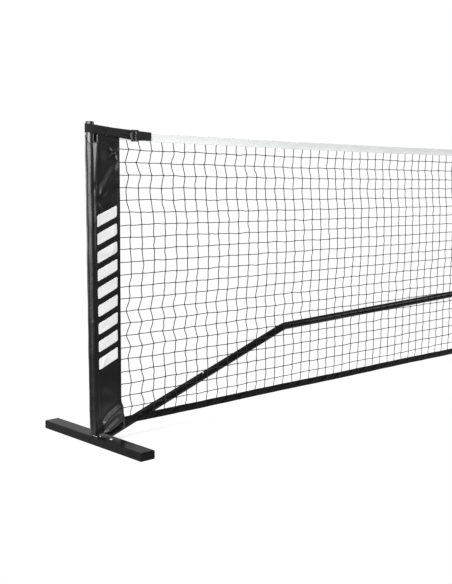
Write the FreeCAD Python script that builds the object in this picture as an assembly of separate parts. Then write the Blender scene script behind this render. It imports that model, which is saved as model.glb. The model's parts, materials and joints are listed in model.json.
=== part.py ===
import FreeCAD, Part
import math
import os

os.makedirs("parts", exist_ok=True)

V = FreeCAD.Vector

# Own frame: origin on the floor under the middle of the net, +X along the net,
# +Y towards the back of the frame (the net hangs on the -Y side), +Z up.
# Lengths are millimetres. One end is drawn with x = 0 on its post's axis and x
# growing towards the middle, then placed at both ends.

# Whole net
HALF_SPAN = 3350.0        # post axis to the middle of the net
TOP_AT_POST = 914.0       # top of the tape at the posts
TOP_AT_MIDDLE = 863.6     # top of the tape at the middle
NET_Y = -14.5             # plane of the tape, the mesh and the hem
TAPE_HEIGHT = 25.0
TAPE_THICK = 1.6
TAPE_START = 91.0         # where the tape and mesh start, beside the sleeve
HEM_BOTTOM = 43.0
HEM_HEIGHT = 22.5
HEM_THICK = 2.4
MESH_THICK = 0.8
MESH_GAP = 0.3
MESH_PANELS = 6

# Round tubes
TUBE_R = 12.5
TUBE_WALL = 1.2
SPIGOT_R = 11.1
SPIGOT_LENGTH = 55.0
SPIGOT_TAPER = 4.0
BORE_R = TUBE_R - TUBE_WALL
SPIGOT_BORE_R = SPIGOT_R - TUBE_WALL

# Feet: rectangular tubes across the net
FOOT_WIDTH = 50.0
FOOT_HEIGHT = 25.0
FOOT_LENGTH = 486.0
FOOT_WALL = 1.5
FOOT_CORNER = 2.5
FOOT_OFFSET = 7.7         # foot's middle, from the post's axis
CAP_LIP = 3.0
CAP_PLUG = 16.0

# End posts
POST_TOP = 933.0
POST_BOTTOM = FOOT_HEIGHT + 1.5
POST_SPIGOT_TOP = 135.0
CAP_DOME = 4.0

# Bottom frame, seen in the X-Z plane
ARM_START_X = 32.7
ARM_START_Z = 12.7
ARM_SLOPE = 0.330
BAR_Z_AT_900 = 265.9
BAR_SLOPE = 0.0251
KNEE_RADIUS = 90.0
ARM_END = 445.0
KNEE_TUBE_END = 1175.0
BAR_JOINT = 2245.0
HUB_SPIGOT_LENGTH = 60.0
HUB_GAP = 2.0

# Snap buttons
BUTTON_R = 3.4
BUTTON_HOLE_R = 3.7
BUTTON_OUT = 3.2
BUTTON_DOME = 1.6
BUTTON_INSET = 24.0       # from the end of the outer tube
LEAF_THICK = 0.8
LEAF_WIDTH = 5.0
LEAF_LENGTH = 30.0
CLIP_TURN_R = 6.5

# Base fasteners
BOLT_Y = -71.6
BOLT_HEAD_R = 6.2
BOLT_HEAD_HEIGHT = 3.4
BOLT_SHANK_R = 3.0
NUT_FLATS = 10.0
SCREW_HEAD_R = 3.0
SCREW_HEAD_HEIGHT = 1.8
TONGUE_WIDTH = 30.0
TONGUE_THICK = 4.0
TONGUE_LENGTH = 200.0

# Webbing strap and ladder-lock buckle
WEB_WIDTH = 25.0
WEB_THICK = 1.3
STRAP_POST_Z = 916.3      # strap's middle height on the post
BUCKLE_Z = 898.5          # strap's middle height at the buckle
STRAP_POST_GAP = 0.4
TAIL_START = 44.5
BUCKLE_START = 121.0
BUCKLE_LENGTH = 36.0
BUCKLE_HEIGHT = 34.0
BUCKLE_Y = -20.6
RAIL_HEIGHT = 3.0
RAIL_THICK = 5.6
FIXED_BAR_U = 32.8        # along the buckle from its thumb tab
MIDDLE_BAR_U = 22.0
TAB_BAR_U = 12.0
BAR_R = 1.8
ANCHOR_END = 207.0

# Sleeve round the post
SLEEVE_INNER_R = 12.9
SLEEVE_THICK = 1.0
SLEEVE_EDGE = 89.0
SLEEVE_TOP = 888.0
SLEEVE_BOTTOM = 30.0

# Middle support
UPRIGHT_TOP = 852.0
POCKET_WALL = 1.0
POCKET_HEIGHT = 60.0
POCKET_HALF_WIDTH = 15.5


def box(x0, x1, y0, y1, z0, z1):
    return Part.makeBox(x1 - x0, y1 - y0, z1 - z0, V(x0, y0, z0))


def turned(profile):
    """Solid of revolution about Z from (radius, height) points."""
    points = [V(r, 0, z) for r, z in profile]
    points.append(points[0])
    face = Part.Face(Part.makePolygon(points))
    return face.revolve(V(0, 0, 0), V(0, 0, 1), 360)


def aim(shape, start, direction):
    """Move a shape drawn along +Z so that it starts at a point, along a direction."""
    turn = FreeCAD.Rotation(V(0, 0, 1), direction)
    shape.Placement = FreeCAD.Placement(start, turn)
    return shape


def extruded_plan(points, z0, height):
    """Solid from an (x, y) outline, from z0 upwards."""
    corners = [V(x, y, z0) for x, y in points]
    corners.append(corners[0])
    face = Part.Face(Part.makePolygon(corners))
    return face.extrude(V(0, 0, height))


def arm_height(x):
    return ARM_START_Z + ARM_SLOPE * (x - ARM_START_X)


def bar_height(x):
    return BAR_Z_AT_900 + BAR_SLOPE * (x - 900.0)


def arm_point(x):
    return V(x, 0, arm_height(x))


def bar_point(x):
    return V(x, 0, bar_height(x))


ARM_DIRECTION = V(1, 0, ARM_SLOPE).normalize()
BAR_DIRECTION = V(1, 0, BAR_SLOPE).normalize()

# Where the arm's line and the bar's line meet
KNEE_X = (bar_height(0) - arm_height(0)) / (ARM_SLOPE - BAR_SLOPE)


def tape_top(x):
    """Top of the tape: a shallow parabola, x counted from the middle of the net."""
    return TOP_AT_MIDDLE + (TOP_AT_POST - TOP_AT_MIDDLE) * (x / HALF_SPAN) ** 2


def tube_profile(length, outer=TUBE_R, bore=BORE_R):
    return [(bore, 0), (outer, 0), (outer, length), (bore, length)]


def spigot_tube(length):
    """Tube whose first stretch is narrowed to plug into the tube before it."""
    neck = SPIGOT_LENGTH
    shoulder = neck + SPIGOT_TAPER
    return turned([
        (SPIGOT_BORE_R, 0),
        (SPIGOT_R, 0),
        (SPIGOT_R, neck),
        (TUBE_R, shoulder),
        (TUBE_R, shoulder + length),
        (BORE_R, shoulder + length),
        (BORE_R, shoulder),
        (SPIGOT_BORE_R, neck),
    ])


def button_hole(point, outward):
    """Cutter for a snap button's hole through one side of a tube."""
    return aim(Part.makeCylinder(BUTTON_HOLE_R, TUBE_R + 4), point, outward)


def snap_button(point, outward, along):
    """Domed button on a folded leaf spring, drawn at the tube's axis and turned to face outward."""
    reach = TUBE_R + BUTTON_OUT
    shoulder = reach - BUTTON_DOME
    leaf_top = SPIGOT_BORE_R - 1.4
    pin = Part.makeCylinder(BUTTON_R, shoulder - leaf_top, V(0, 0, leaf_top))
    dome_r = (BUTTON_R ** 2 + BUTTON_DOME ** 2) / (2 * BUTTON_DOME)
    dome = Part.makeSphere(dome_r, V(0, 0, reach - dome_r))
    dome = dome.common(Part.makeCylinder(BUTTON_R, BUTTON_DOME, V(0, 0, shoulder)))
    half = LEAF_WIDTH / 2
    leaf = box(-4.5, LEAF_LENGTH, -half, half, leaf_top - LEAF_THICK, leaf_top)
    turn_z = leaf_top - CLIP_TURN_R
    ring = Part.makeCylinder(CLIP_TURN_R, LEAF_WIDTH, V(LEAF_LENGTH, -half, turn_z), V(0, 1, 0))
    hollow_r = CLIP_TURN_R - LEAF_THICK
    ring = ring.cut(Part.makeCylinder(hollow_r, LEAF_WIDTH, V(LEAF_LENGTH, -half, turn_z), V(0, 1, 0)))
    ring = ring.common(box(LEAF_LENGTH, LEAF_LENGTH + 8, -half, half, -9, 9))
    low = turn_z - CLIP_TURN_R
    lower_leaf = box(4.0, LEAF_LENGTH, -half, half, low, low + LEAF_THICK)
    clip = pin.fuse([dome, leaf, ring, lower_leaf]).removeSplitter()
    sideways = outward.cross(along)
    turn = FreeCAD.Matrix(
        along.x, sideways.x, outward.x, point.x,
        along.y, sideways.y, outward.y, point.y,
        along.z, sideways.z, outward.z, point.z,
        0, 0, 0, 1)
    return clip.transformed(turn)


def button_facing(direction, up, front_degrees):
    """Unit vector square to a tube in the X-Z plane: up or down, leaning to the front."""
    square = V(-direction.z, 0, direction.x).multiply(up)
    lean = math.radians(front_degrees)
    return (square.multiply(math.cos(lean)).add(V(0, -math.sin(lean), 0))).normalize()


ARM_BUTTON_FACE = button_facing(ARM_DIRECTION, 1, 20)
BAR_BUTTON_FACE = button_facing(BAR_DIRECTION, -1, 35)


def foot_tube(middle_x):
    """Rectangular tube with rounded long edges, open at both ends, along Y."""
    x0 = middle_x - FOOT_WIDTH / 2
    half = FOOT_LENGTH / 2 - CAP_LIP
    outer = box(x0, x0 + FOOT_WIDTH, -half, half, 0, FOOT_HEIGHT)
    long_edges = [e for e in outer.Edges if abs(e.tangentAt(e.FirstParameter).y) > 0.9]
    outer = outer.makeFillet(FOOT_CORNER, long_edges)
    inner = box(
        x0 + FOOT_WALL, x0 + FOOT_WIDTH - FOOT_WALL, -half - 1, half + 1,
        FOOT_WALL, FOOT_HEIGHT - FOOT_WALL)
    return outer.cut(inner)


def foot_caps(middle_x):
    """Two plastic end plugs: a lip as big as the tube and a plug inside it."""
    x0 = middle_x - FOOT_WIDTH / 2
    end = FOOT_LENGTH / 2
    gap = FOOT_WALL + 0.1
    caps = []
    for way in (-1, 1):
        ys = sorted((way * (end - CAP_LIP), way * end))
        lip = box(x0, x0 + FOOT_WIDTH, ys[0], ys[1], 0, FOOT_HEIGHT)
        lip_edges = [e for e in lip.Edges if abs(e.tangentAt(e.FirstParameter).y) > 0.9]
        lip = lip.makeFillet(FOOT_CORNER, lip_edges)
        ys = sorted((way * (end - CAP_PLUG), way * (end - CAP_LIP)))
        plug = box(x0 + gap, x0 + FOOT_WIDTH - gap, ys[0], ys[1], gap, FOOT_HEIGHT - gap)
        caps.append(lip.fuse(plug).removeSplitter())
    return Part.makeCompound(caps)


def end_foot():
    """End foot with its holes for the post spigot, the bolt and the screws."""
    foot = foot_tube(FOOT_OFFSET)
    top = FOOT_HEIGHT - FOOT_WALL - 1
    foot = foot.cut(Part.makeCylinder(SPIGOT_R, 5, V(0, 0, top)))
    foot = foot.cut(Part.makeCylinder(BOLT_SHANK_R, 5, V(FOOT_OFFSET, BOLT_Y, top)))
    for x, y in screw_places():
        foot = foot.cut(Part.makeCylinder(1.6, 5, V(x, y, top)))
    return foot


def screw_places():
    """The two small screws beside the post's foot."""
    return [(-9.0, -21.0), (1.5, -25.5)]


def base_tongue():
    """Flat bar under the foot's top wall that carries the post's spigot."""
    top = FOOT_HEIGHT - FOOT_WALL
    low = top - TONGUE_THICK
    half = TONGUE_WIDTH / 2
    x0 = FOOT_OFFSET - half - 3.0
    bar = box(x0, x0 + TONGUE_WIDTH, -TONGUE_LENGTH / 2, TONGUE_LENGTH / 2, low, top)
    bar = bar.cut(Part.makeCylinder(SPIGOT_BORE_R, 10, V(0, 0, low - 1)))
    bar = bar.cut(Part.makeCylinder(BOLT_SHANK_R, 10, V(FOOT_OFFSET, BOLT_Y, low - 1)))
    for x, y in screw_places():
        bar = bar.cut(Part.makeCylinder(1.6, 10, V(x, y, low - 1)))
    return bar


def post_spigot():
    """Short tube standing on the tongue, which the post drops over."""
    low = FOOT_HEIGHT - FOOT_WALL
    height = POST_SPIGOT_TOP - low
    spigot = turned([
        (SPIGOT_BORE_R, 0),
        (SPIGOT_R, 0),
        (SPIGOT_R, height - 3),
        (SPIGOT_R - 1.0, height),
        (SPIGOT_BORE_R, height),
    ])
    return aim(spigot, V(0, 0, low), V(0, 0, 1))


def dome_head(radius, height, base):
    """Low domed head standing on a flat rim."""
    rim = height * 0.3
    rise = height - rim
    dome_r = (radius ** 2 + rise ** 2) / (2 * rise)
    dome = Part.makeSphere(dome_r, base.add(V(0, 0, height - dome_r)))
    dome = dome.common(Part.makeCylinder(radius, rise, base.add(V(0, 0, rim))))
    return Part.makeCylinder(radius, rim, base).fuse(dome).removeSplitter()


def foot_bolts():
    """The bright dome-head bolt with its nut, and two small screws."""
    top = FOOT_HEIGHT
    pieces = []
    seat = V(FOOT_OFFSET, BOLT_Y, top)
    bolt = dome_head(BOLT_HEAD_R, BOLT_HEAD_HEIGHT, seat)
    shank = Part.makeCylinder(BOLT_SHANK_R, 17, V(FOOT_OFFSET, BOLT_Y, top - 17))
    pieces.append(bolt.fuse(shank).removeSplitter())
    nut_r = NUT_FLATS / math.sqrt(3)
    nut_low = FOOT_HEIGHT - FOOT_WALL - TONGUE_THICK - 5
    corners = []
    for i in range(6):
        angle = math.radians(60 * i)
        corners.append((FOOT_OFFSET + nut_r * math.cos(angle), BOLT_Y + nut_r * math.sin(angle)))
    nut = extruded_plan(corners, nut_low, 5)
    pieces.append(nut.cut(Part.makeCylinder(BOLT_SHANK_R, 5, V(FOOT_OFFSET, BOLT_Y, nut_low))))
    for x, y in screw_places():
        head = dome_head(SCREW_HEAD_R, SCREW_HEAD_HEIGHT, V(x, y, top))
        shank = Part.makeCylinder(1.6, 8, V(x, y, top - 8))
        pieces.append(head.fuse(shank).removeSplitter())
    return Part.makeCompound(pieces)


def post():
    return aim(turned(tube_profile(POST_TOP - POST_BOTTOM)), V(0, 0, POST_BOTTOM), V(0, 0, 1))


def tube_cap():
    """Plastic plug with a low dome, drawn at a tube's open end along +Z."""
    plug_r = BORE_R - 0.05
    return turned([
        (0, -18),
        (plug_r, -18),
        (plug_r, 0),
        (TUBE_R, 0),
        (TUBE_R, 1.5),
        (TUBE_R - 1.2, 3.0),
        (TUBE_R - 4.0, CAP_DOME),
        (0, CAP_DOME + 0.5),
    ])


def post_cap():
    return aim(tube_cap(), V(0, 0, POST_TOP), V(0, 0, 1))


def base_arm():
    """Lower slanted tube, welded to the foot's inner side and open at its far end."""
    far = arm_point(ARM_END)
    inside_foot = arm_point(ARM_START_X - 20)
    length = far.sub(inside_foot).Length
    arm = aim(turned(tube_profile(length)), inside_foot, ARM_DIRECTION)
    foot_side = FOOT_OFFSET + FOOT_WIDTH / 2
    arm = arm.cut(box(-60, foot_side, -40, 40, -60, 80))
    return arm.cut(button_hole(arm_button_point(), ARM_BUTTON_FACE))


def arm_button_point():
    return arm_point(ARM_END).sub(V(ARM_DIRECTION).multiply(BUTTON_INSET))


def knee_tube():
    """Bent tube: a spigot in the arm, a straight, the knee and the first stretch of the bar."""
    turn = math.acos(ARM_DIRECTION.dot(BAR_DIRECTION))
    setback = KNEE_RADIUS * math.tan(turn / 2)
    corner = arm_point(KNEE_X)
    knee_in = corner.sub(V(ARM_DIRECTION).multiply(setback))
    knee_out = corner.add(V(BAR_DIRECTION).multiply(setback))
    square = V(-ARM_DIRECTION.z, 0, ARM_DIRECTION.x)
    centre = knee_in.sub(V(square).multiply(KNEE_RADIUS))
    middle_way = V(corner).sub(centre).normalize().multiply(KNEE_RADIUS)
    arc = Part.Arc(knee_in, centre.add(middle_way), knee_out).toShape()
    start = arm_point(ARM_END).add(V(ARM_DIRECTION).multiply(SPIGOT_TAPER))
    end = bar_point(KNEE_TUBE_END)
    path = Part.Wire([Part.makeLine(start, knee_in), arc, Part.makeLine(knee_out, end)])
    circle = Part.Wire(Part.makeCircle(TUBE_R, start, ARM_DIRECTION))
    bore = Part.Wire(Part.makeCircle(BORE_R, start, ARM_DIRECTION))
    outer = path.makePipeShell([circle], True, True)
    inner = path.makePipeShell([bore], True, True)
    body = outer.cut(inner)
    neck_start = arm_point(ARM_END).sub(V(ARM_DIRECTION).multiply(SPIGOT_LENGTH))
    neck = aim(spigot_tube(0.5), neck_start, ARM_DIRECTION)
    tube = body.fuse(neck).removeSplitter()
    tube = tube.cut(button_hole(arm_button_point(), ARM_BUTTON_FACE))
    return tube.cut(button_hole(knee_button_point(), BAR_BUTTON_FACE))


def knee_button_point():
    return bar_point(KNEE_TUBE_END).sub(V(BAR_DIRECTION).multiply(BUTTON_INSET))


def bar_button_point():
    return bar_point(BAR_JOINT).sub(V(BAR_DIRECTION).multiply(BUTTON_INSET))


def hub_button_point():
    return bar_point(bar_end()).sub(V(BAR_DIRECTION).multiply(BUTTON_INSET))


def bar_end():
    return HALF_SPAN - TUBE_R - HUB_GAP


def bar_tube(start_x, end_x, first_button, second_button):
    """Straight bottom tube: a spigot at its outer end, plain at its inner end."""
    start = bar_point(start_x)
    length = bar_point(end_x).sub(start).Length - SPIGOT_TAPER
    neck_start = start.sub(V(BAR_DIRECTION).multiply(SPIGOT_LENGTH))
    tube = aim(spigot_tube(length), neck_start, BAR_DIRECTION)
    for point in (first_button, second_button):
        tube = tube.cut(button_hole(point, BAR_BUTTON_FACE))
    return tube


def bar_tube_outer():
    return bar_tube(KNEE_TUBE_END, BAR_JOINT, knee_button_point(), bar_button_point())


def bar_tube_inner():
    return bar_tube(BAR_JOINT, bar_end(), bar_button_point(), hub_button_point())


def hub_spigot():
    """Short tube welded to the middle upright, which the inner bar tube slides over."""
    near = bar_point(HALF_SPAN - TUBE_R)
    direction = V(BAR_DIRECTION).multiply(-1)
    spigot = aim(turned([
        (SPIGOT_BORE_R, -6),
        (SPIGOT_R, -6),
        (SPIGOT_R, HUB_SPIGOT_LENGTH),
        (SPIGOT_BORE_R, HUB_SPIGOT_LENGTH),
    ]), near, direction)
    upright = Part.makeCylinder(TUBE_R, POST_TOP, V(HALF_SPAN, 0, 0))
    spigot = spigot.cut(upright)
    return spigot.cut(button_hole(hub_button_point(), BAR_BUTTON_FACE))


def extruded_lean(points, fall, middle_z, height):
    """Upright-walled solid from an (x, y) outline whose edges fall as x grows."""
    corners = [V(x, y, middle_z - fall * x - height / 2) for x, y in points]
    corners.append(corners[0])
    face = Part.Face(Part.makePolygon(corners))
    return face.extrude(V(0, 0, height))


def arc_of_radius(centre, radius, first_degrees, last_degrees, steps):
    points = []
    for i in range(steps + 1):
        angle = math.radians(first_degrees + (last_degrees - first_degrees) * i / steps)
        points.append((centre[0] + radius * math.cos(angle), centre[1] + radius * math.sin(angle)))
    return points


def strap():
    """Webbing sewn behind the tape, round the post, into the buckle and back as a tail."""
    inner = TUBE_R + STRAP_POST_GAP
    outer = inner + WEB_THICK
    load_end = BUCKLE_START + MIDDLE_BAR_U - 2.6
    load_y = BUCKLE_Y + BAR_R + 0.3
    sewn_end = ANCHOR_END - 5.0
    sewn_y = NET_Y + TAPE_THICK / 2 + 0.4
    outline = [(load_end, load_y), (load_end, load_y + WEB_THICK)]
    outline += arc_of_radius((0, 0), inner, 270, 90, 24)
    outline += [(sewn_end, sewn_y), (sewn_end, sewn_y + WEB_THICK)]
    outline += arc_of_radius((0, 0), outer, 90, 270, 24)
    fall = (STRAP_POST_Z - BUCKLE_Z) / load_end
    loop = extruded_lean(outline, fall, STRAP_POST_Z, WEB_WIDTH)
    tail_end = BUCKLE_START + TAB_BAR_U + 4.0
    slope = (load_y - (-outer)) / load_end
    tail = []
    for x in (TAIL_START, tail_end):
        tail.append((x, -outer + slope * x - 0.1))
    for x in (tail_end, TAIL_START):
        tail.append((x, -outer + slope * x - 0.1 - WEB_THICK))
    tail = extruded_lean(tail, fall, STRAP_POST_Z, WEB_WIDTH)
    return Part.makeCompound([loop, tail])


def strap_turn():
    """The strap's fold round the buckle's middle bar."""
    centre = (BUCKLE_START + MIDDLE_BAR_U, BUCKLE_Y)
    inner = BAR_R + 0.25
    outer = inner + WEB_THICK
    start = centre[0] - 2.0
    outline = [(start, centre[1] + outer), (start, centre[1] + inner)]
    outline += arc_of_radius(centre, inner, 90, -90, 12)
    outline += [(start, centre[1] - inner), (start, centre[1] - outer)]
    outline += arc_of_radius(centre, outer, -90, 90, 12)
    low = BUCKLE_Z - WEB_WIDTH / 2
    return extruded_plan(outline, low, WEB_WIDTH)


def buckle():
    """Ladder-lock buckle: two rails, three bars and a rounded thumb tab."""
    x0 = BUCKLE_START
    low = BUCKLE_Z - BUCKLE_HEIGHT / 2
    high = BUCKLE_Z + BUCKLE_HEIGHT / 2
    front = BUCKLE_Y - RAIL_THICK / 2
    rail_start = x0 + TAB_BAR_U - 2.0
    rail_end = x0 + BUCKLE_LENGTH
    pieces = []
    for z in (low, high - RAIL_HEIGHT):
        rail = box(rail_start, rail_end, front, front + RAIL_THICK, z, z + RAIL_HEIGHT)
        pieces.append(rail.makeFillet(1.0, rail.Edges))
    for u in (MIDDLE_BAR_U, FIXED_BAR_U):
        pieces.append(Part.makeCylinder(BAR_R, BUCKLE_HEIGHT - 2, V(x0 + u, BUCKLE_Y, low + 1)))
    bar = box(rail_start, rail_start + 4.0, front - 0.4, front + 2.4, low + 1, high - 1)
    pieces.append(bar)
    tab_r = 10.5
    disc = Part.makeCylinder(tab_r, 2.0, V(rail_start + 0.5, front, BUCKLE_Z), V(0, -1, 0))
    disc = disc.common(box(x0 - 2, rail_start + 0.5, front - 4, front + 1, low, high))
    disc.rotate(V(rail_start, front, BUCKLE_Z), V(0, 0, 1), 14)
    pieces.append(disc)
    return pieces[0].fuse(pieces[1:]).removeSplitter()


def tape_anchor():
    """Black webbing looped round the buckle's fixed bar and sewn over the tape."""
    centre = (BUCKLE_START + FIXED_BAR_U, BUCKLE_Y)
    inner = BAR_R + 0.2
    outer = inner + WEB_THICK
    join_x = centre[0] + 16.0
    back = NET_Y - TAPE_THICK / 2 - 0.2
    front = back - 2 * WEB_THICK
    middle = (front + back) / 2
    outline = arc_of_radius(centre, outer, 90, 270, 16)
    outline += [(join_x, front), (ANCHOR_END, front), (ANCHOR_END, back), (join_x, back)]
    loop = extruded_plan(outline, BUCKLE_Z - WEB_WIDTH / 2, WEB_WIDTH)
    eye = arc_of_radius(centre, inner, 90, 270, 16)
    eye += [(join_x - 2.0, middle)]
    return loop.cut(extruded_plan(eye, BUCKLE_Z - WEB_WIDTH / 2, WEB_WIDTH))


def sleeve():
    """Vinyl sleeve: a pocket round the post and a flat wing towards the net."""
    height = SLEEVE_TOP - SLEEVE_BOTTOM
    outer = SLEEVE_INNER_R + SLEEVE_THICK
    pocket = aim(turned(tube_profile(height, outer, SLEEVE_INNER_R)), V(0, 0, SLEEVE_BOTTOM), V(0, 0, 1))
    wing = box(0, SLEEVE_EDGE, NET_Y - 0.7, -SLEEVE_INNER_R - 0.5, SLEEVE_BOTTOM, SLEEVE_TOP)
    wing = wing.cut(Part.makeCylinder(SLEEVE_INNER_R, height, V(0, 0, SLEEVE_BOTTOM)))
    return pocket.fuse(wing).removeSplitter()


def middle_upright():
    return aim(turned(tube_profile(UPRIGHT_TOP - FOOT_HEIGHT)), V(0, 0, FOOT_HEIGHT), V(0, 0, 1))


def middle_cap():
    return aim(tube_cap(), V(0, 0, UPRIGHT_TOP), V(0, 0, 1))


def middle_pocket():
    """Pocket sewn behind the tape: walls round the top of the upright and a closed top."""
    half = POCKET_HALF_WIDTH
    front = NET_Y + TAPE_THICK / 2 + 0.2
    top = TOP_AT_MIDDLE - 1.0
    low = top - POCKET_HEIGHT
    shell = box(-half, half, front, half, low, top)
    rear_edges = []
    for edge in shell.Edges:
        upright = abs(edge.tangentAt(edge.FirstParameter).z) > 0.9
        if upright and edge.CenterOfMass.y > 0:
            rear_edges.append(edge)
    shell = shell.makeFillet(12.0, rear_edges)
    clear = TUBE_R + 0.4
    hollow = Part.makeCylinder(clear, POCKET_HEIGHT, V(0, 0, low - POCKET_WALL))
    return shell.cut(hollow)


def curve_or_line(points):
    """An arc through three points, or a straight line where they are level."""
    first, middle, last = points
    if abs(first.z + last.z - 2 * middle.z) < 1e-6:
        return Part.makeLine(first, last)
    return Part.Arc(first, middle, last).toShape()


def stretch(index, z_low, z_high, thick):
    """One of the net's equal stretches, between two heights given as functions of x."""
    limit = HALF_SPAN - TAPE_START
    width = 2 * limit / MESH_PANELS
    start = -limit + index * width
    places = [start, start + width / 2, start + width]
    tops = [V(x, 0, z_high(x)) for x in places]
    lows = [V(x, 0, z_low(x)) for x in places]
    edges = [
        curve_or_line(tops),
        Part.makeLine(tops[2], lows[2]),
        curve_or_line(lows),
        Part.makeLine(lows[0], tops[0]),
    ]
    face = Part.Face(Part.Wire(Part.__sortEdges__(edges)))
    solid = face.extrude(V(0, thick, 0))
    solid.translate(V(0, NET_Y - thick / 2, 0))
    return solid


def top_tape():
    """Folded tape along the top edge, in stretches that follow its sag."""
    return Part.makeCompound([
        stretch(index, lambda x: tape_top(x) - TAPE_HEIGHT, tape_top, TAPE_THICK)
        for index in range(MESH_PANELS)
    ])


def bottom_hem():
    limit = HALF_SPAN - TAPE_START
    half = HEM_THICK / 2
    return box(-limit, limit, NET_Y - half, NET_Y + half, HEM_BOTTOM, HEM_BOTTOM + HEM_HEIGHT)


def mesh_panel(index):
    """One stretch of the mesh as a thin sheet between the hem and the tape."""
    low = HEM_BOTTOM + HEM_HEIGHT + MESH_GAP
    below_tape = TAPE_HEIGHT + MESH_GAP
    return stretch(index, lambda x: low, lambda x: tape_top(x) - below_tape, MESH_THICK)


# Builders of one end's pieces. The frame's parts are the same at both ends, so
# the right end's frame is the left end's turned half round. The strap, the
# buckle and the sleeve are mirrored.
FRAME_PIECES = {
    "foot": end_foot,
    "foot_caps": lambda: foot_caps(FOOT_OFFSET),
    "base_tongue": base_tongue,
    "post_spigot": post_spigot,
    "foot_bolts": foot_bolts,
    "base_arm": base_arm,
    "arm_button": lambda: snap_button(arm_button_point(), ARM_BUTTON_FACE, ARM_DIRECTION),
    "post": post,
    "post_cap": post_cap,
    "knee_tube": knee_tube,
    "bar_tube_outer": bar_tube_outer,
    "bar_tube_inner": bar_tube_inner,
    "knee_button": lambda: snap_button(knee_button_point(), BAR_BUTTON_FACE, BAR_DIRECTION),
    "bar_button": lambda: snap_button(bar_button_point(), BAR_BUTTON_FACE, BAR_DIRECTION),
    "hub_button": lambda: snap_button(hub_button_point(), BAR_BUTTON_FACE, V(BAR_DIRECTION).multiply(-1)),
    "hub_spigot": hub_spigot,
}

NET_END_PIECES = {
    "strap": strap,
    "strap_turn": strap_turn,
    "buckle": buckle,
    "tape_anchor": tape_anchor,
    "sleeve": sleeve,
}

MIDDLE_PIECES = {
    "middle_foot": lambda: foot_tube(0),
    "middle_foot_caps": lambda: foot_caps(0),
    "middle_upright": middle_upright,
    "middle_cap": middle_cap,
    "middle_pocket": middle_pocket,
    "top_tape": top_tape,
    "bottom_hem": bottom_hem,
}


def write(shape, node):
    solids = shape.Solids
    good = all(solid.isValid() for solid in solids)
    print(node, "solids", len(solids), "volume", round(shape.Volume), "valid", good)
    shape.exportStep("parts/" + node + ".step")


def at_left(shape):
    moved = shape.copy()
    moved.translate(V(-HALF_SPAN, 0, 0))
    return moved


def main():
    for name, build in FRAME_PIECES.items():
        left = at_left(build())
        write(left, name + "_left")
        right = left.copy()
        right.rotate(V(0, 0, 0), V(0, 0, 1), 180)
        write(right, name + "_right")
    for name, build in NET_END_PIECES.items():
        left = at_left(build())
        write(left, name + "_left")
        write(left.mirror(V(0, 0, 0), V(1, 0, 0)), name + "_right")
    for name, build in MIDDLE_PIECES.items():
        write(build(), name)
    for index in range(MESH_PANELS):
        write(mesh_panel(index), "mesh_panel_" + str(index + 1))


main()
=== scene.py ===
import json
import math

import bpy
import numpy as np
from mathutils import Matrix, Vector


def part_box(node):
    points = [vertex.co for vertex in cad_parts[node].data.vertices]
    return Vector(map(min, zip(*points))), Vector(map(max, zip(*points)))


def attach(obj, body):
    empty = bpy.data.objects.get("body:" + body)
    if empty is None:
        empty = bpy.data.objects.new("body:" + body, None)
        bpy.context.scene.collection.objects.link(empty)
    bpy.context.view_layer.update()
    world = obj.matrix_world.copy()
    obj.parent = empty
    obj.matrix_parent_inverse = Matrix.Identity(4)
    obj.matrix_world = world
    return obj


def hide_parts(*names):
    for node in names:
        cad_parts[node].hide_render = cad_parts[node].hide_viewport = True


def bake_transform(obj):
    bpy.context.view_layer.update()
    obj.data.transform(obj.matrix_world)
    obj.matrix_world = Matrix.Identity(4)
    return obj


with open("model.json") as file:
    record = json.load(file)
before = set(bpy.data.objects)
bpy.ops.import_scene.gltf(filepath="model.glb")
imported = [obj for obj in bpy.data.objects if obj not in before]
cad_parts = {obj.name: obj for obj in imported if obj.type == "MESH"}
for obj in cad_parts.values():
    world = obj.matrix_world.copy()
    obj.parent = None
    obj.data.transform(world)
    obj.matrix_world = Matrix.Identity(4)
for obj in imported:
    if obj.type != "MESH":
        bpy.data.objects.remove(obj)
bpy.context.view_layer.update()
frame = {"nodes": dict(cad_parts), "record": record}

# The shared frame is in metres: +X along the net, +Y to the frame's back, +Z up, with the net on
# the -Y side. Pieces at an end of the net are built in millimetres as (s, y, z), where s is the
# distance from that end's post axis towards the middle, and at_end brings them to the frame.

MM = 0.001
SIDES = {"left": -1, "right": 1}

POST_LO, POST_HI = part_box("post_left")
HALF_SPAN = -(POST_LO.x + POST_HI.x) / 2
TAPE_LO, TAPE_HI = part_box("top_tape")
HEM_LO, HEM_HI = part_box("bottom_hem")
NET_Y = (TAPE_LO.y + TAPE_HI.y) / 2
NET_START = HALF_SPAN - TAPE_HI.x       # where the tape, the mesh and the hem start
TAPE_HEIGHT = TAPE_HI.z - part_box("mesh_panel_1")[1].z
TAPE_MIDDLE = TAPE_LO.z + TAPE_HEIGHT
TAPE_SAG = (TAPE_HI.z - TAPE_MIDDLE) / TAPE_HI.x ** 2


def tape_top(x):
    """Height of the tape's top edge at a place along the net."""
    return TAPE_MIDDLE + TAPE_SAG * np.square(x)


# ---------- meshes

def grid(rows, columns, wrap=False):
    """Quads of a rows x columns grid of points, and each corner's (row, column)."""
    i, j = np.meshgrid(np.arange(rows - 1), np.arange(columns if wrap else columns - 1), indexing="ij")
    i, j = i.ravel(), j.ravel()
    corner_i = np.stack([i, i, i + 1, i + 1], 1)
    corner_j = np.stack([j, j + 1, j + 1, j], 1)
    faces = corner_i * columns + corner_j % columns
    return faces, corner_i, corner_j


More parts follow.
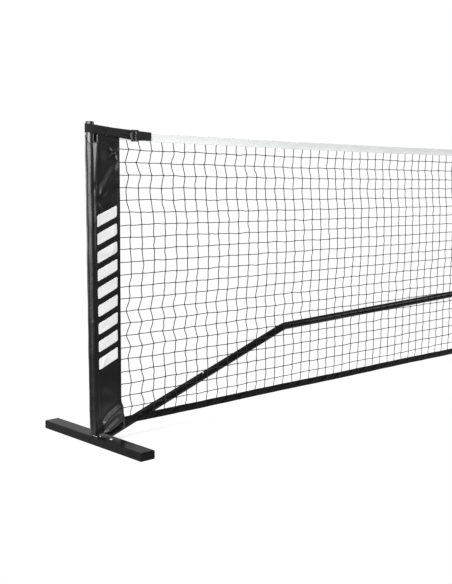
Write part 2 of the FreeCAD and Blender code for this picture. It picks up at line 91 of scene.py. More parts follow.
def add_mesh(name, points, faces, material, uv=None, smooth=True):
    """A mesh object from arrays. uv holds a pair for each corner of each face."""
    mesh = bpy.data.meshes.new(name)
    mesh.from_pydata(np.asarray(points).tolist(), [], np.asarray(faces).tolist())
    if uv is not None:
        layer = mesh.uv_layers.new(name="UVMap")
        layer.data.foreach_set("uv", np.asarray(uv, np.float32).ravel())
    mesh.polygons.foreach_set("use_smooth", [smooth] * len(mesh.polygons))
    mesh.update()
    piece = bpy.data.objects.new(name, mesh)
    bpy.context.scene.collection.objects.link(piece)
    mesh.materials.append(material)
    return piece


def surface(name, points, material, uv, flip=False):
    """A grid of points (rows, columns, 3) as a surface; uv is (rows, columns, 2) in metres."""
    faces, ci, cj = grid(*points.shape[:2])
    if flip:
        faces, ci, cj = faces[:, ::-1], ci[:, ::-1], cj[:, ::-1]
    return add_mesh(name, points.reshape(-1, 3), faces, material, uv[ci, cj].reshape(-1, 2))


def thicken(piece, thickness):
    """Gives a surface its material's thickness, half of it to each side."""
    modifier = piece.modifiers.new("Thickness", "SOLIDIFY")
    modifier.thickness = thickness
    modifier.offset = 0.0
    modifier.use_even_offset = False


def unit(v):
    return v / np.linalg.norm(v, axis=-1, keepdims=True)


def travel(points):
    """Distance along a line of points (..., points, k) at each of its points."""
    steps = np.linalg.norm(np.diff(points, axis=-2), axis=-1)
    return np.concatenate([np.zeros_like(steps[..., :1]), np.cumsum(steps, axis=-1)], axis=-1)


def together(*parts):
    """Arrays that broadcast together as one array of tuples."""
    return np.stack(np.broadcast_arrays(*parts), -1)


def sweep(paths, tangent, first, radius, sides, along):
    """A round section along paths (count, points, 3): points, faces and uv, with along as u."""
    count, steps = paths.shape[:2]
    second = np.cross(tangent, first)
    angle = 2 * np.pi * np.arange(sides) / sides
    ring = first[:, :, None] * np.cos(angle)[:, None] + second[:, :, None] * np.sin(angle)[:, None]
    points = paths[:, :, None] + radius * ring
    faces, ci, cj = grid(steps, sides, wrap=True)
    offset = (np.arange(count) * steps * sides)[:, None, None]
    uv = together(along[:, ci], cj / sides)
    return points.reshape(-1, 3), (faces + offset).reshape(-1, 4), uv.reshape(-1, 2)


def tubes(paths, radius, sides, across=(0, 1, 0)):
    """Round cords along paths (count, points, 3) that lie square to across."""
    across = np.asarray(across, float)
    tangent = unit(np.gradient(paths, axis=1))
    first = unit(across - tangent * (tangent @ across)[..., None])
    return sweep(paths, tangent, first, radius, sides, travel(paths))


def add_joined(name, parts, material):
    """One mesh object from several (points, faces, uv)."""
    points, faces, uvs = zip(*parts)
    starts = np.cumsum([0] + [len(p) for p in points])
    faces = np.concatenate([f + start for f, start in zip(faces, starts)])
    return add_mesh(name, np.concatenate(points), faces, material, np.concatenate(uvs))


def declare(piece, slot, *nodes):
    """Hides the CAD nodes that a piece stands for, and fixes the piece to the frame. The slot is not
    used.
    """
    if nodes:
        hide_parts(*nodes)
    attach(piece, "frame")
    return piece


# ---------- materials

class Nodes:
    """Adds and links shader nodes."""

    def __init__(self, name):
        self.material = bpy.data.materials.new(name)
        self.material.use_nodes = True
        self.tree = self.material.node_tree
        self.shader = self.tree.nodes["Principled BSDF"]

    def feed(self, socket, value):
        """Links a socket's value in, or sets a constant."""
        if isinstance(value, bpy.types.NodeSocket):
            self.tree.links.new(value, socket)
        else:
            socket.default_value = value

    def add(self, kind, **inputs):
        node = self.tree.nodes.new(kind)
        for key, value in inputs.items():
            self.feed(node.inputs[key.replace("_", " ")], value)
        return node

    def math(self, operation, a, b=0.0):
        node = self.tree.nodes.new("ShaderNodeMath")
        node.operation = operation
        for socket, value in zip(node.inputs, (a, b)):
            self.feed(socket, value)
        return node.outputs[0]

    def uv(self):
        split = self.add("ShaderNodeSeparateXYZ", Vector=self.add("ShaderNodeTexCoord").outputs["UV"])
        return split.outputs[0], split.outputs[1]

    def noise(self, scale, detail=3.0, roughness=0.5):
        """Noise in the piece's own coordinates, about 0 to 1; scale is in cells a metre."""
        place = self.add("ShaderNodeTexCoord").outputs["Object"]
        settings = {"Scale": scale, "Detail": detail, "Roughness": roughness}
        return self.add("ShaderNodeTexNoise", Vector=place, **settings).outputs["Fac"]

    def ramp(self, value, places, colours):
        """A colour, or a grey given as one number, at each place from 0 to 1."""
        node = self.tree.nodes.new("ShaderNodeValToRGB")
        elements = node.color_ramp.elements
        while len(elements) < len(places):
            elements.new(0.5)
        for element, place, colour in zip(elements, places, colours):
            element.position = place
            element.color = (*(colour if hasattr(colour, "__len__") else (colour,) * 3), 1.0)
        self.tree.links.new(value, node.inputs[0])
        return node.outputs["Color"]

    def span(self, value, low, high):
        """0 to 1 as low to high."""
        return self.add("ShaderNodeMapRange", Value=value, To_Min=low, To_Max=high).outputs["Result"]

    def stripes(self, coordinate, pitch):
        """A smooth ridge every pitch metres, from -1 to 1."""
        return self.math("SINE", self.math("MULTIPLY", coordinate, 2 * math.pi / pitch))

    def weave(self, pitch):
        """Plain weave with a thread every pitch metres both ways."""
        u, v = self.uv()
        return self.math("MULTIPLY", self.stripes(u, pitch), self.stripes(v, pitch))

    def bump(self, height, distance, strength, normal=None):
        node = self.add("ShaderNodeBump", Strength=strength, Distance=distance, Height=height)
        if normal:
            self.tree.links.new(normal, node.inputs["Normal"])
        return node.outputs["Normal"]

    def plug(self, name, value):
        self.feed(self.shader.inputs[name], value)


# From dark to light
PAINT_BLACK = ((0.0035, 0.0035, 0.0038), (0.006, 0.006, 0.0065))
VINYL_BLACK = ((0.003, 0.003, 0.0034), (0.006, 0.006, 0.0065))
WEBBING_BLACK = ((0.003, 0.003, 0.0034), (0.012, 0.012, 0.013))
TAPE_WHITE = ((0.705, 0.71, 0.715), (0.745, 0.75, 0.755))
CORD_BLACK = ((0.004, 0.004, 0.0045), (0.014, 0.014, 0.015))
THREAD_BLACK = ((0.018, 0.018, 0.02), (0.05, 0.05, 0.055))
THREAD_WHITE = ((0.72, 0.72, 0.73), (0.86, 0.86, 0.87))

INK_WHITE = (0.52, 0.66, 0.70)
FLOOR_GREY = (0.20, 0.21)
FLOOR_GLOW = 0.74

# Pitches of threads and ribs, metres
VINYL_WEAVE = 0.0011
TAPE_WEAVE = 0.0012
WEBBING_RIB = 0.0022
WEBBING_YARN = 0.0016
CORD_TWIST = 0.005
CORD_STRANDS = 3.0


def powder_coat(name, gloss):
    """Black powder coat with fine orange peel and faint handling marks."""
    n = Nodes(name)
    tone = n.noise(9.0, 4.0, 0.6)
    n.plug("Base Color", n.ramp(tone, (0.3, 0.7), PAINT_BLACK))
    marks = n.noise(60.0, 6.0, 0.7)
    n.plug("Roughness", n.span(marks, 0.19, 0.30))
    n.plug("Specular IOR Level", gloss)
    peel = n.bump(n.noise(900.0, 2.0), 0.00002, 0.5)
    n.plug("Normal", n.bump(n.noise(35.0, 2.0), 0.0002, 0.3, peel))
    return n.material


def moulded_plastic(name, tone, roughness, gloss=0.5):
    """Plain moulded plastic with a fine texture."""
    n = Nodes(name)
    shade = n.noise(25.0, 3.0)
    n.plug("Base Color", n.ramp(shade, (0.3, 0.7), (tone * 0.85, tone * 1.2)))
    n.plug("Roughness", n.span(n.noise(140.0, 4.0), roughness - 0.07, roughness + 0.07))
    n.plug("Specular IOR Level", gloss)
    n.plug("Normal", n.bump(n.noise(1600.0, 3.0), 0.00004, 0.5))
    return n.material


def plated_steel(name, tone, roughness):
    """Dull plated metal, slightly cloudy."""
    n = Nodes(name)
    n.plug("Metallic", 1.0)
    n.plug("Base Color", n.ramp(n.noise(70.0, 4.0), (0.3, 0.7), (tone * 0.88, tone)))
    n.plug("Roughness", n.span(n.noise(240.0, 5.0), roughness - 0.08, roughness + 0.1))
    n.plug("Normal", n.bump(n.noise(700.0, 3.0), 0.00003, 0.4))
    return n.material


def coated_vinyl(name, roughness, gloss):
    """Glossy black vinyl over a woven base that shows through as a fine grid."""
    n = Nodes(name)
    tone = n.noise(14.0, 4.0, 0.6)
    n.plug("Base Color", n.ramp(tone, (0.3, 0.7), VINYL_BLACK))
    n.plug("Roughness", n.span(n.noise(45.0, 5.0, 0.6), roughness - 0.07, roughness + 0.11))
    n.plug("Specular IOR Level", gloss)
    woven = n.bump(n.weave(VINYL_WEAVE), 0.00003, 0.3)
    n.plug("Normal", n.bump(n.noise(38.0, 4.0, 0.55), 0.0005, 0.2, woven))
    return n.material


def webbing():
    """Black polyester webbing: ribs across the width and a herringbone of yarns, with painted shade in
    the grooves between them.
    """
    n = Nodes("Webbing")
    u, v = n.uv()
    ribs = n.stripes(u, WEBBING_RIB)
    yarns = n.stripes(n.math("ADD", v, n.math("MULTIPLY", ribs, 0.0003)), WEBBING_YARN)
    weave = n.math("MULTIPLY", ribs, yarns)
    # Colour follows the weave's height: painted shade in the grooves between ribs and yarns, lighter
    # on the crests; the noise is the webbing's uneven tone.
    tone = n.math("ADD", n.math("MULTIPLY", weave, 0.25), n.noise(120.0, 4.0, 0.7))
    n.plug("Base Color", n.ramp(tone, (0.2, 0.9), WEBBING_BLACK))
    n.plug("Roughness", n.span(n.noise(300.0, 3.0), 0.62, 0.82))
    n.plug("Specular IOR Level", 0.25)
    n.plug("Sheen Weight", 0.03)
    n.plug("Sheen Roughness", 0.45)
    fuzz = n.bump(n.noise(2500.0, 3.0), 0.00005, 0.4)
    n.plug("Normal", n.bump(weave, 0.00022, 0.9, fuzz))
    return n.material


def tape_cloth():
    """White polyester tape: plain weave, its tone very slightly uneven, with painted shade between the
    threads.
    """
    n = Nodes("TapeCloth")
    weave = n.weave(TAPE_WEAVE)
    # Colour follows the weave's height: painted shade between the threads, lighter on their crests;
    # the noise is the tape's uneven tone.
    tone = n.math("ADD", n.math("MULTIPLY", weave, 0.06), n.noise(20.0, 5.0, 0.65))
    n.plug("Base Color", n.ramp(tone, (0.25, 0.75), TAPE_WHITE))
    n.plug("Roughness", n.span(n.noise(160.0, 3.0), 0.76, 0.88))
    n.plug("Specular IOR Level", 0.2)
    soft = n.bump(n.noise(55.0, 4.0), 0.0005, 0.15)
    n.plug("Normal", n.bump(weave, 0.0001, 0.2, soft))
    return n.material


def cord_fibre(name, tones):
    """Twisted cord: strands wind round it, with painted shade in the grooves between them, and a
    slightly uneven tone along the length.
    """
    n = Nodes(name)
    u, v = n.uv()
    turns = n.math("ADD", n.math("MULTIPLY", u, 1 / CORD_TWIST), n.math("MULTIPLY", v, CORD_STRANDS))
    strands = n.math("SINE", n.math("MULTIPLY", turns, 2 * math.pi))
    # Colour follows the strands' height: painted shade in the grooves between strands, lighter on the
    # crests; the noise is the cord's uneven tone.
    tone = n.math("ADD", n.math("MULTIPLY", strands, 0.15), n.noise(90.0, 4.0, 0.7))
    n.plug("Base Color", n.ramp(tone, (0.2, 0.85), tones))
    n.plug("Roughness", n.span(n.noise(200.0, 3.0), 0.6, 0.8))
    n.plug("Specular IOR Level", 0.25)
    n.plug("Normal", n.bump(strands, 0.00018, 0.8))
    return n.material


def printed_ink():
    """White screen print on the vinyl, with its weave showing faintly and worn spots."""
    n = Nodes("PrintInk")
    worn = n.noise(260.0, 5.0, 0.7)
    n.plug("Base Color", n.ramp(worn, (0.2, 0.42, 0.9), INK_WHITE))
    n.plug("Roughness", n.span(n.noise(80.0, 3.0), 0.38, 0.55))
    n.plug("Normal", n.bump(n.weave(VINYL_WEAVE), 0.00003, 0.5))
    return n.material


def floor_paint():
    """White ground that glows a little, so that it is as pale under the object as round it."""
    n = Nodes("Floor")
    n.plug("Base Color", n.ramp(n.noise(3.0, 3.0), (0.3, 0.7), FLOOR_GREY))
    n.plug("Roughness", 0.9)
    n.plug("Specular IOR Level", 0.1)
    n.plug("Emission Color", (1, 1, 1, 1))
    n.plug("Emission Strength", FLOOR_GLOW)
    return n.material


FOOT_PAINT = powder_coat("FootPaint", 0.05)
FOOT_PLASTIC = moulded_plastic("FootCapPlastic", 0.005, 0.4, 0.06)
VINYL = coated_vinyl("Vinyl", 0.30, 0.5)
HEM_VINYL = coated_vinyl("HemVinyl", 0.17, 0.06)
BINDING_VINYL = coated_vinyl("BindingVinyl", 0.3, 0.3)
WEBBING = webbing()
TAPE = tape_cloth()
CORD = cord_fibre("NetCord", CORD_BLACK)
BLACK_THREAD = cord_fibre("BlackThread", THREAD_BLACK)
WHITE_THREAD = cord_fibre("WhiteThread", THREAD_WHITE)
INK = printed_ink()

# A CAD node is painted by its own name, or else by its record slot
SLOT_MATERIALS = {
    "frame_paint": powder_coat("PowderCoat", 0.11),
    "inner_steel": plated_steel("InnerSteel", 0.45, 0.4),
    "zinc_plate": plated_steel("ZincPlate", 0.42, 0.4),
    "cap_plastic": moulded_plastic("CapPlastic", 0.006, 0.28),
    "buckle_plastic": moulded_plastic("BucklePlastic", 0.012, 0.36),
    "webbing": WEBBING,
    "vinyl": VINYL,
    "white_tape": TAPE,
    "net_cord": CORD,
}
NODE_MATERIALS = {
    "post": powder_coat("PostPaint", 0.65),
    "foot": FOOT_PAINT,
    "middle_foot": FOOT_PAINT,
    "foot_caps": FOOT_PLASTIC,
    "middle_foot_caps": FOOT_PLASTIC,
}


def paint_frame():
    """Each CAD node that stays in view gets a procedural material."""
    for entry in frame["record"]["subparts"]:
        name = entry["node"]
        kind = name.removesuffix("_left").removesuffix("_right")
        materials = frame["nodes"][name].data.materials
        materials.clear()
        materials.append(NODE_MATERIALS.get(kind, SLOT_MATERIALS[entry["material_slot"]]))


# ---------- camera, light, floor

# Fitted to the photo; the place is measured from the left post's axis
CAMERA_PLACE = (-1.6453, -2.3803, 0.8151)
CAMERA_HEADING = 47.669     # degrees from +X
CAMERA_PITCH = -7.269
SENSOR_WIDTH = 36.0
LENS = 61.60

# Name, place and aim from the left post's axis, width, height, radiance
SOFTBOXES = [
    ("LeftBox", (-2.7, -1.5, 1.05), (0, 0, 0.9), 3.9, 1.0, 13.0),
    ("FrontBox", (-0.35, -2.4, 2.0), (0, 0, 0.4), 1.6, 1.2, 3.6),
    ("RightBox", (4.08, -1.9, 1.75), (0, 0, 1.0), 2.4, 1.5, 5.0),
    ("BackBox", (5.4, 5.9, 2.3), (0, 0, 0.5), 8.0, 3.0, 0.9),
    ("RearBox", (-1.5, 3.6, 0.9), (0, 0, 0.6), 4.0, 1.6, 4.0),
]
OVERHEAD_STRENGTH = 3.9
OVERHEAD_ANGLE = 42         # degrees of sky it fills
OVERHEAD_DIRECTION = (0.15, 0.1, -1)
ROOM_LIGHT = 0.13           # the white room as the object sees it; the camera sees 1
FLOOR_MARGIN = 0.16         # past the posts
FLOOR_HALF_DEPTH = 0.32
FLOOR_CORNER = 0.12


def from_left_post(place):
    return Vector((place[0] - HALF_SPAN, place[1], place[2]))


def place_in_scene(name, data, direction):
    """An object for a camera or a light, looking along a direction."""
    thing = bpy.data.objects.new(name, data)
    thing.rotation_mode = "QUATERNION"
    thing.rotation_quaternion = Vector(direction).to_track_quat("-Z", "Y")
    bpy.context.scene.collection.objects.link(thing)
    return thing


def add_camera():
    """The photograph's viewpoint: left of the left post, in front of the net, below the tape."""
    data = bpy.data.cameras.new("Camera")
    data.sensor_width = SENSOR_WIDTH
    data.lens = LENS
    data.clip_end = 200.0
    heading, pitch = math.radians(CAMERA_HEADING), math.radians(CAMERA_PITCH)
    level = math.cos(pitch)
    forward = (math.cos(heading) * level, math.sin(heading) * level, math.sin(pitch))
    camera = place_in_scene("Camera", data, forward)
    camera.location = from_left_post(CAMERA_PLACE)
    bpy.context.scene.camera = camera


def add_softbox(name, place, aim, width, height, radiance):
    """Rectangular softbox of a given brightness, turned to face a point."""
    data = bpy.data.lights.new(name, "AREA")
    data.shape = "RECTANGLE"
    data.size, data.size_y = width, height
    data.energy = radiance * math.pi * width * height
    light = place_in_scene(name, data, aim - place)
    light.location = place
    light.visible_camera = False


def add_overhead():
    """Wide soft light from straight above."""
    data = bpy.data.lights.new("Overhead", "SUN")
    data.energy = OVERHEAD_STRENGTH
    data.angle = math.radians(OVERHEAD_ANGLE)
    place_in_scene("Overhead", data, OVERHEAD_DIRECTION)


def light_room():
    """A white room, dim for the object and bright for the camera, with softboxes in it."""
    world = bpy.data.worlds.new("World")
    world.use_nodes = True
    tree = world.node_tree
    background = tree.nodes["Background"]
    path = tree.nodes.new("ShaderNodeLightPath")
    mix = tree.nodes.new("ShaderNodeMapRange")
    tree.links.new(path.outputs["Is Camera Ray"], mix.inputs["Value"])
    mix.inputs["To Min"].default_value = ROOM_LIGHT
    mix.inputs["To Max"].default_value = 1.0
    background.inputs["Color"].default_value = (1, 1, 1, 1)
    tree.links.new(mix.outputs["Result"], background.inputs["Strength"])
    bpy.context.scene.world = world
    bpy.context.scene.view_settings.view_transform = "Standard"
    add_overhead()
    for name, place, aim, width, height, radiance in SOFTBOXES:
        add_softbox(name, from_left_post(place), from_left_post(aim), width, height, radiance)


def add_floor():
    """A pale sheet of floor that reaches a little past the object on every side."""
    inner_x = HALF_SPAN + FLOOR_MARGIN - FLOOR_CORNER
    inner_y = FLOOR_HALF_DEPTH - FLOOR_CORNER
    outline = []
    for sx, sy, start in ((1, 1, 0), (-1, 1, 90), (-1, -1, 180), (1, -1, 270)):
        outline += arc_points((sx * inner_x, sy * inner_y), FLOOR_CORNER, start, start + 90, 12)
    points = [(x, y, 0.0) for x, y in outline]
    floor = add_mesh("Floor", points, [list(range(len(points)))], floor_paint(), smooth=False)


# ---------- shapes shared by the soft pieces

def at_end(points, side):
    """(s, y, z) in millimetres at one end of the net to the shared frame."""
    out = np.array(points, float) * MM
    out[..., 0] = side * (HALF_SPAN - out[..., 0])
    return out


def smooth(x):
    """0 to 1 with level ends."""
    x = np.clip(x, 0, 1)
    return x * x * (3 - 2 * x)


def ridge(s, z, start, end, width, height):
    """A fold: raised along the line from start to end, fading across it and past its ends."""
    d = np.subtract(end, start)
    length = np.hypot(*d)
    along = ((s - start[0]) * d[0] + (z - start[1]) * d[1]) / length
    across = ((z - start[1]) * d[0] - (s - start[0]) * d[1]) / length
    past = np.maximum(np.maximum(-along, along - length), 0)
    return height * np.exp(-(across / width) ** 2 - (past / (1.5 * width)) ** 2)


def ripples(a, b, lengths, height, seed):
    """Waves of several lengths in different directions, added up."""
    random = np.random.default_rng(seed)
    total = 0.0
    for length in lengths:
        angle, phase = random.uniform(0, 2 * np.pi, 2)
        total = total + np.sin(2 * np.pi / length * (a * np.cos(angle) + b * np.sin(angle)) + phase)
    return height * total / len(lengths)


# Half of a webbing's outline, as shares of half its width and half its thickness
WEBBING_RIM = [(-1.0, 0.25), (-0.97, 0.8), (-0.9, 1.0), (-0.45, 1.0), (0.0, 1.0), (0.45, 1.0),
               (0.9, 1.0), (0.97, 0.8), (1.0, 0.25)]


def ribbon(path, width, thickness):
    """Woven strap along a path (points, 3), standing on edge along Z: points, faces and uv."""
    half, t = width / 2, thickness / 2
    section = [(half * a, t * b) for a, b in WEBBING_RIM]
    section = np.array(section + [(a, -b) for a, b in section[::-1]])
    level = unit(np.gradient(path, axis=0)) * (1, 1, 0)
    normal = unit(together(-level[:, 1], level[:, 0], level[:, 2]))
    spine = path[:, None] + section[:, :1] * np.array([0.0, 0.0, 1.0])
    points = spine + section[:, 1:] * normal[:, None]
    closed = spine + 0.02 * section[:, 1:] * normal[:, None]
    points = np.concatenate([closed[:1], points, closed[-1:]])
    faces, ci, cj = grid(len(points), len(section), wrap=True)
    length = travel(path)
    length = np.concatenate([length[:1], length, length[-1:]])
    v = np.append(section[:, 0], section[0, 0])
    return points.reshape(-1, 3), faces, together(length[ci], v[cj]).reshape(-1, 2)


def along_line(line, where):
    """Points of a line (points, k) at distances along it."""
    steps = travel(line)
    return np.stack([np.interp(where, steps, line[:, k]) for k in range(line.shape[1])], -1)


# Rows of stitches, metres: from stitch to stitch, a stitch's length, the thread's radius
SEAM_STITCH = (0.0040, 0.0031, 0.00022)
BOX_STITCH = (0.0028, 0.0022, 0.00022)
LONG_STITCH = (0.0044, 0.0034, 0.00024)


def stitch_paths(line, pitch, length, t):
    """Stitches along a line (points, 3), each with a point at every share t of its length."""
    starts = np.arange(pitch / 2, travel(line)[-1] - length, pitch)
    return along_line(line, starts[:, None] + t * length)


def stitches(line, way, kind):
    """Thread along a line on a front (-1) or back (1) face, dipping in at each stitch's ends."""
    pitch, length, radius = kind
    t = np.linspace(0, 1, 5)
    paths = stitch_paths(line, pitch, length, t)
    paths[..., 1] += radius * (1.6 * np.sin(np.pi * t) - 0.9) * way
    return tubes(paths, radius, 5, across=(0, way, 0))


def long_row(line, way):
    """Stitches with few faces, for a row along the whole net."""
    pitch, length, radius = LONG_STITCH
    paths = stitch_paths(line, pitch, length, np.array([0, 0.5, 1.0]))
    paths[..., 1] += way * radius * np.array([-0.8, 0.7, -0.8])
    return tubes(paths, radius, 4)


def arc_points(centre, radius, first, last, steps):
    """Points round a circle, from one angle in degrees to another."""
    angle = np.radians(np.linspace(first, last, steps))
    return [(centre[0] + radius * math.cos(a), centre[1] + radius * math.sin(a)) for a in angle]


def curve_through(points, spacing):
    """A smooth line through a few points (count, k), at an even spacing."""
    points = np.asarray(points, float)
    padded = np.concatenate([2 * points[:1] - points[1:2], points, 2 * points[-1:] - points[-2:-1]])
    t = np.linspace(0, 1, 13)[:-1, None]
    fine = []
    for a, b, c, d in zip(padded, padded[1:], padded[2:], padded[3:]):
        fine.append(0.5 * (2 * b + (c - a) * t + (2 * a - 5 * b + 4 * c - d) * t ** 2
                           + (3 * b - a - 3 * c + d) * t ** 3))
    return even_points(np.concatenate(fine + [points[-1:]]), spacing)


def even_points(line, spacing):
    """A line's points moved to an even spacing."""
    length = travel(line)[-1]
    return along_line(line, np.linspace(0, length, round(length / spacing) + 1))


# ---------- net

CORD_R = 0.0013
COLUMNS = 149
ROWS = 22
FIRST_COLUMN = 0.118        # first upright cord's distance from the post's axis
EDGE_GAP = 0.75             # first and last gap between cords, in pitches
CORD_STEPS = 5              # points of a cord from one knot to the next
CORD_SIDES = 6
KNOT_POINTS = 9
PANELS = 6
NET_SEED = 7
COLUMN_SCATTER = 0.0011     # of the knots along the net
ROW_SCATTER = 0.0008        # of the knots in height
UPRIGHT_BOW = 0.0009        # of the cords between knots
LEVEL_BOW = 0.00035
UNDER_WEBBING = 0.21        # from the post's axis; nearer, the cords end behind the webbing
LEAN_NEAR_REACH = 0.3       # over which LEAN_NEAR fades
LEAN_MIDDLE = 1.6           # from the net's middle, where the lean starts to fade out

# How far the knots of each row stand off their columns where the net is pulled askew, from the
# top row down, in millimetres away from the post: at the first columns, and from about the tenth
LEAN_NEAR = np.array([8, -6, 8, -2, -1, 8, 10, 11, 10, 12, 12, 5, 6, -8, 6, -7.5, 7, -2, 2, 9, 2, 11])
LEAN_FAR = np.array([-2, -6, 1.5, 0.5, 4, 11, 11, 12, 13, 13, 11, 10, 7, 3, 7, 2, 8, 5, 7, 6, 5, 3])


def knots(random):
    """Every knot's place in the net plane: (columns, rows + 2, 2), with the ends in tape and hem."""
    x = np.linspace(-HALF_SPAN + FIRST_COLUMN, HALF_SPAN - FIRST_COLUMN, COLUMNS)
    top = tape_top(x) - TAPE_HEIGHT
    pitch = (top - HEM_HI.z) / (ROWS - 1 + 2 * EDGE_GAP)
    rows = np.arange(ROWS)
    z = top[:, None] - (EDGE_GAP + rows) * pitch[:, None]
    under_webbing = np.abs(x) > HALF_SPAN - UNDER_WEBBING
    z_top = top + np.where(under_webbing, -0.0005, 0.004)
    z = np.concatenate([z_top[:, None], z, np.full((COLUMNS, 1), HEM_HI.z - 0.006)], axis=1)
    from_post = (HALF_SPAN - np.abs(x))[:, None]
    near = np.exp(-np.maximum(from_post - FIRST_COLUMN, 0) / LEAN_NEAR_REACH)
    far = smooth((HALF_SPAN - from_post) / LEAN_MIDDLE)
    lean = LEAN_FAR + (LEAN_NEAR - LEAN_FAR) * near
    shift = np.zeros((COLUMNS, ROWS + 2))
    shift[:, 1:-1] = -np.sign(x)[:, None] * lean * far * MM
    shift += random.normal(0, COLUMN_SCATTER, shift.shape)
    z[:, 1:-1] += random.normal(0, ROW_SCATTER, (COLUMNS, ROWS))
    z[:, 1] += (0.002 * np.sin(from_post * 21.0) * np.exp(-from_post / 0.8))[:, 0]
    return together(x[:, None] + shift, z)


def spans(a, b, bow, steps):
    """Points of a bowed span from each a to each b, in the net plane; bow is square to the span."""
    t = np.linspace(0, 1, steps + 1)
    line = a[..., None, :] + (b - a)[..., None, :] * t[:, None]
    square = unit(together(-(b - a)[..., 1], (b - a)[..., 0]))
    swell = bow[..., 0:1] * np.sin(np.pi * t) + bow[..., 1:2] * np.sin(2 * np.pi * t)
    return line + square[..., None, :] * swell[..., None]


def net_paths(places, random):
    """Upright and level cords as point lists (count, points, 3)."""
    def to_frame(points):
        return together(points[..., 0], NET_Y, points[..., 1])

    def chain(grid_points, wobble):
        bow = random.normal(0, wobble, grid_points[:, 1:].shape)
        pieces = spans(grid_points[:, :-1], grid_points[:, 1:], bow, CORD_STEPS)
        line = pieces[:, :, :-1].reshape(len(grid_points), -1, 2)
        return np.concatenate([line, grid_points[:, -1:]], axis=1)

    upright = to_frame(chain(places, UPRIGHT_BOW))
    level = places[:, 1:-1].transpose(1, 0, 2)
    start = level[:, :1].copy()
    start[..., 0] = -HALF_SPAN + NET_START - 0.004
    end = level[:, -1:].copy()
    end[..., 0] = HALF_SPAN - NET_START + 0.004
    return upright, to_frame(chain(np.concatenate([start, level, end], axis=1), LEVEL_BOW))


def knot_turns(places, random):
    """A turn of cord lying askew round each crossing."""
    centres = places[:, 1:-1].reshape(-1, 2)
    count = len(centres)
    tilt = np.where(np.arange(count) % 2, 1, -1) * random.uniform(0.6, 0.95, count)
    axis = together(np.cos(tilt), 0, np.sin(tilt))
    out = together(-np.sin(tilt), 0, np.cos(tilt))
    angle = np.linspace(0, 2 * np.pi, KNOT_POINTS)
    middle = together(centres[:, 0], NET_Y, centres[:, 1])
    across = np.array([0.0, 1.0, 0.0])
    paths = middle[:, None] + CORD_R * 1.5 * np.sin(angle)[:, None] * out[:, None]
    paths = paths + CORD_R * 1.25 * np.cos(angle)[:, None] * across
    return paths + axis[:, None] * (CORD_R * 0.5 * np.linspace(-1, 1, KNOT_POINTS)[:, None])


def ring_tubes(paths, radius):
    """Cords along small closed turns, each with its own frame."""
    tangent = unit(np.gradient(paths, axis=1))
    outward = unit(paths - paths.mean(axis=1, keepdims=True))
    first = unit(outward - tangent * np.sum(outward * tangent, -1, keepdims=True))
    along = np.broadcast_to(np.arange(paths.shape[1]) * radius, paths.shape[:2])
    return sweep(paths, tangent, first, radius, CORD_SIDES, along)


def build_net():
    """The knotted mesh, one piece for each CAD panel it stands for."""
    random = np.random.default_rng(NET_SEED)
    places = knots(random)
    upright, level = net_paths(places, random)
    turns = knot_turns(places, random).reshape(COLUMNS, ROWS, -1, 3)
    bounds = [round(i * COLUMNS / PANELS) for i in range(PANELS + 1)]
    for number, (first, last) in enumerate(zip(bounds, bounds[1:]), start=1):
        start = 0 if number == 1 else (first + 1) * CORD_STEPS
        stop = level.shape[1] if number == PANELS else (last + 1) * CORD_STEPS + 1
        cords = [
            tubes(upright[first:last], CORD_R, CORD_SIDES),
            tubes(level[:, start:stop], CORD_R, CORD_SIDES),
            ring_tubes(turns[first:last].reshape(-1, KNOT_POINTS, 3), CORD_R * 0.85),
        ]
        declare(add_joined(f"net_{number}", cords, CORD), "net_cord", f"mesh_panel_{number}")


# ---------- sleeve

# In millimetres. A table is a pair of lists: places, and the value at each.
POCKET_R = 13.4             # to the middle of the vinyl round the post
SEAM_S = 17.0               # where the pocket is sewn shut
FRONT_Y = -15.1
REAR_Y = -13.9
VINYL_THICK = 0.8
BINDING_THICK = 0.6
BINDING_OUT = 0.75          # from the middle of the vinyl to the middle of the binding
SLEEVE_ROWS = 330
RING_DEGREES = (13, 265)    # where the vinyl goes round the post, from the wing's side by the back
RING_START, RING_STOP = (math.radians(degrees) for degrees in RING_DEGREES)
RING_END = (POCKET_R * math.cos(RING_STOP), POCKET_R * math.sin(RING_STOP))

# Up the sleeve: where its free edge is, and how wide its binding is
EDGE_S = ([30, 60, 85, 105, 119, 419, 713, 900], [95.5, 95, 92, 87.5, 86, 88, 91, 91.5])
BIND_WIDTH = ([34, 90, 119, 500, 893], [11, 12, 13, 9.5, 6.5])

# Over the base arm: the line (s, z) below which the vinyl stands out, and how far, by depth below
DRAPE_LINE = ([-14, 2, 12, 38, 67, 86, 97], [20, 39, 71, 96, 113, 120, 122])
DRAPE_DEPTH = ([0, 5, 8, 19, 23, 31, 40, 43, 53, 57, 70],
               [0, 0.3, 1.2, 9.8, 10.4, 8.6, 4.8, 5.2, 12.4, 12.8, 11.0])

# The loose fold beside the post: its height and width up the sleeve, and its shape across
FOLD_FULL = ([30, 420, 560, 660, 738, 757, 766, 800, 866, 880],
             [0.8, 1.2, 2.4, 3.4, 3.6, 1.7, 2.6, 3.9, 7.2, 6.6])
FOLD_WIDTH = ([30, 740, 800, 850, 876], [0.62, 0.64, 0.7, 0.9, 1.0])
FOLD_SHAPE = ([0, 0.06, 0.14, 0.56, 0.64, 0.71, 0.78, 0.88, 0.95, 1],
              [0, 0.03, 0.12, 0.88, 0.98, 1, 0.9, 0.4, 0.1, 0])


def star_fold(degrees):
    """One arm of the four that meet where the wing is pulled in near its top."""
    s, z, a = 70, 846, math.radians(degrees)
    start = (s + 5 * math.cos(a), z + 5 * math.sin(a))
    return start, (s + 15 * math.cos(a), z + 17 * math.sin(a)), 5.0, 2.0


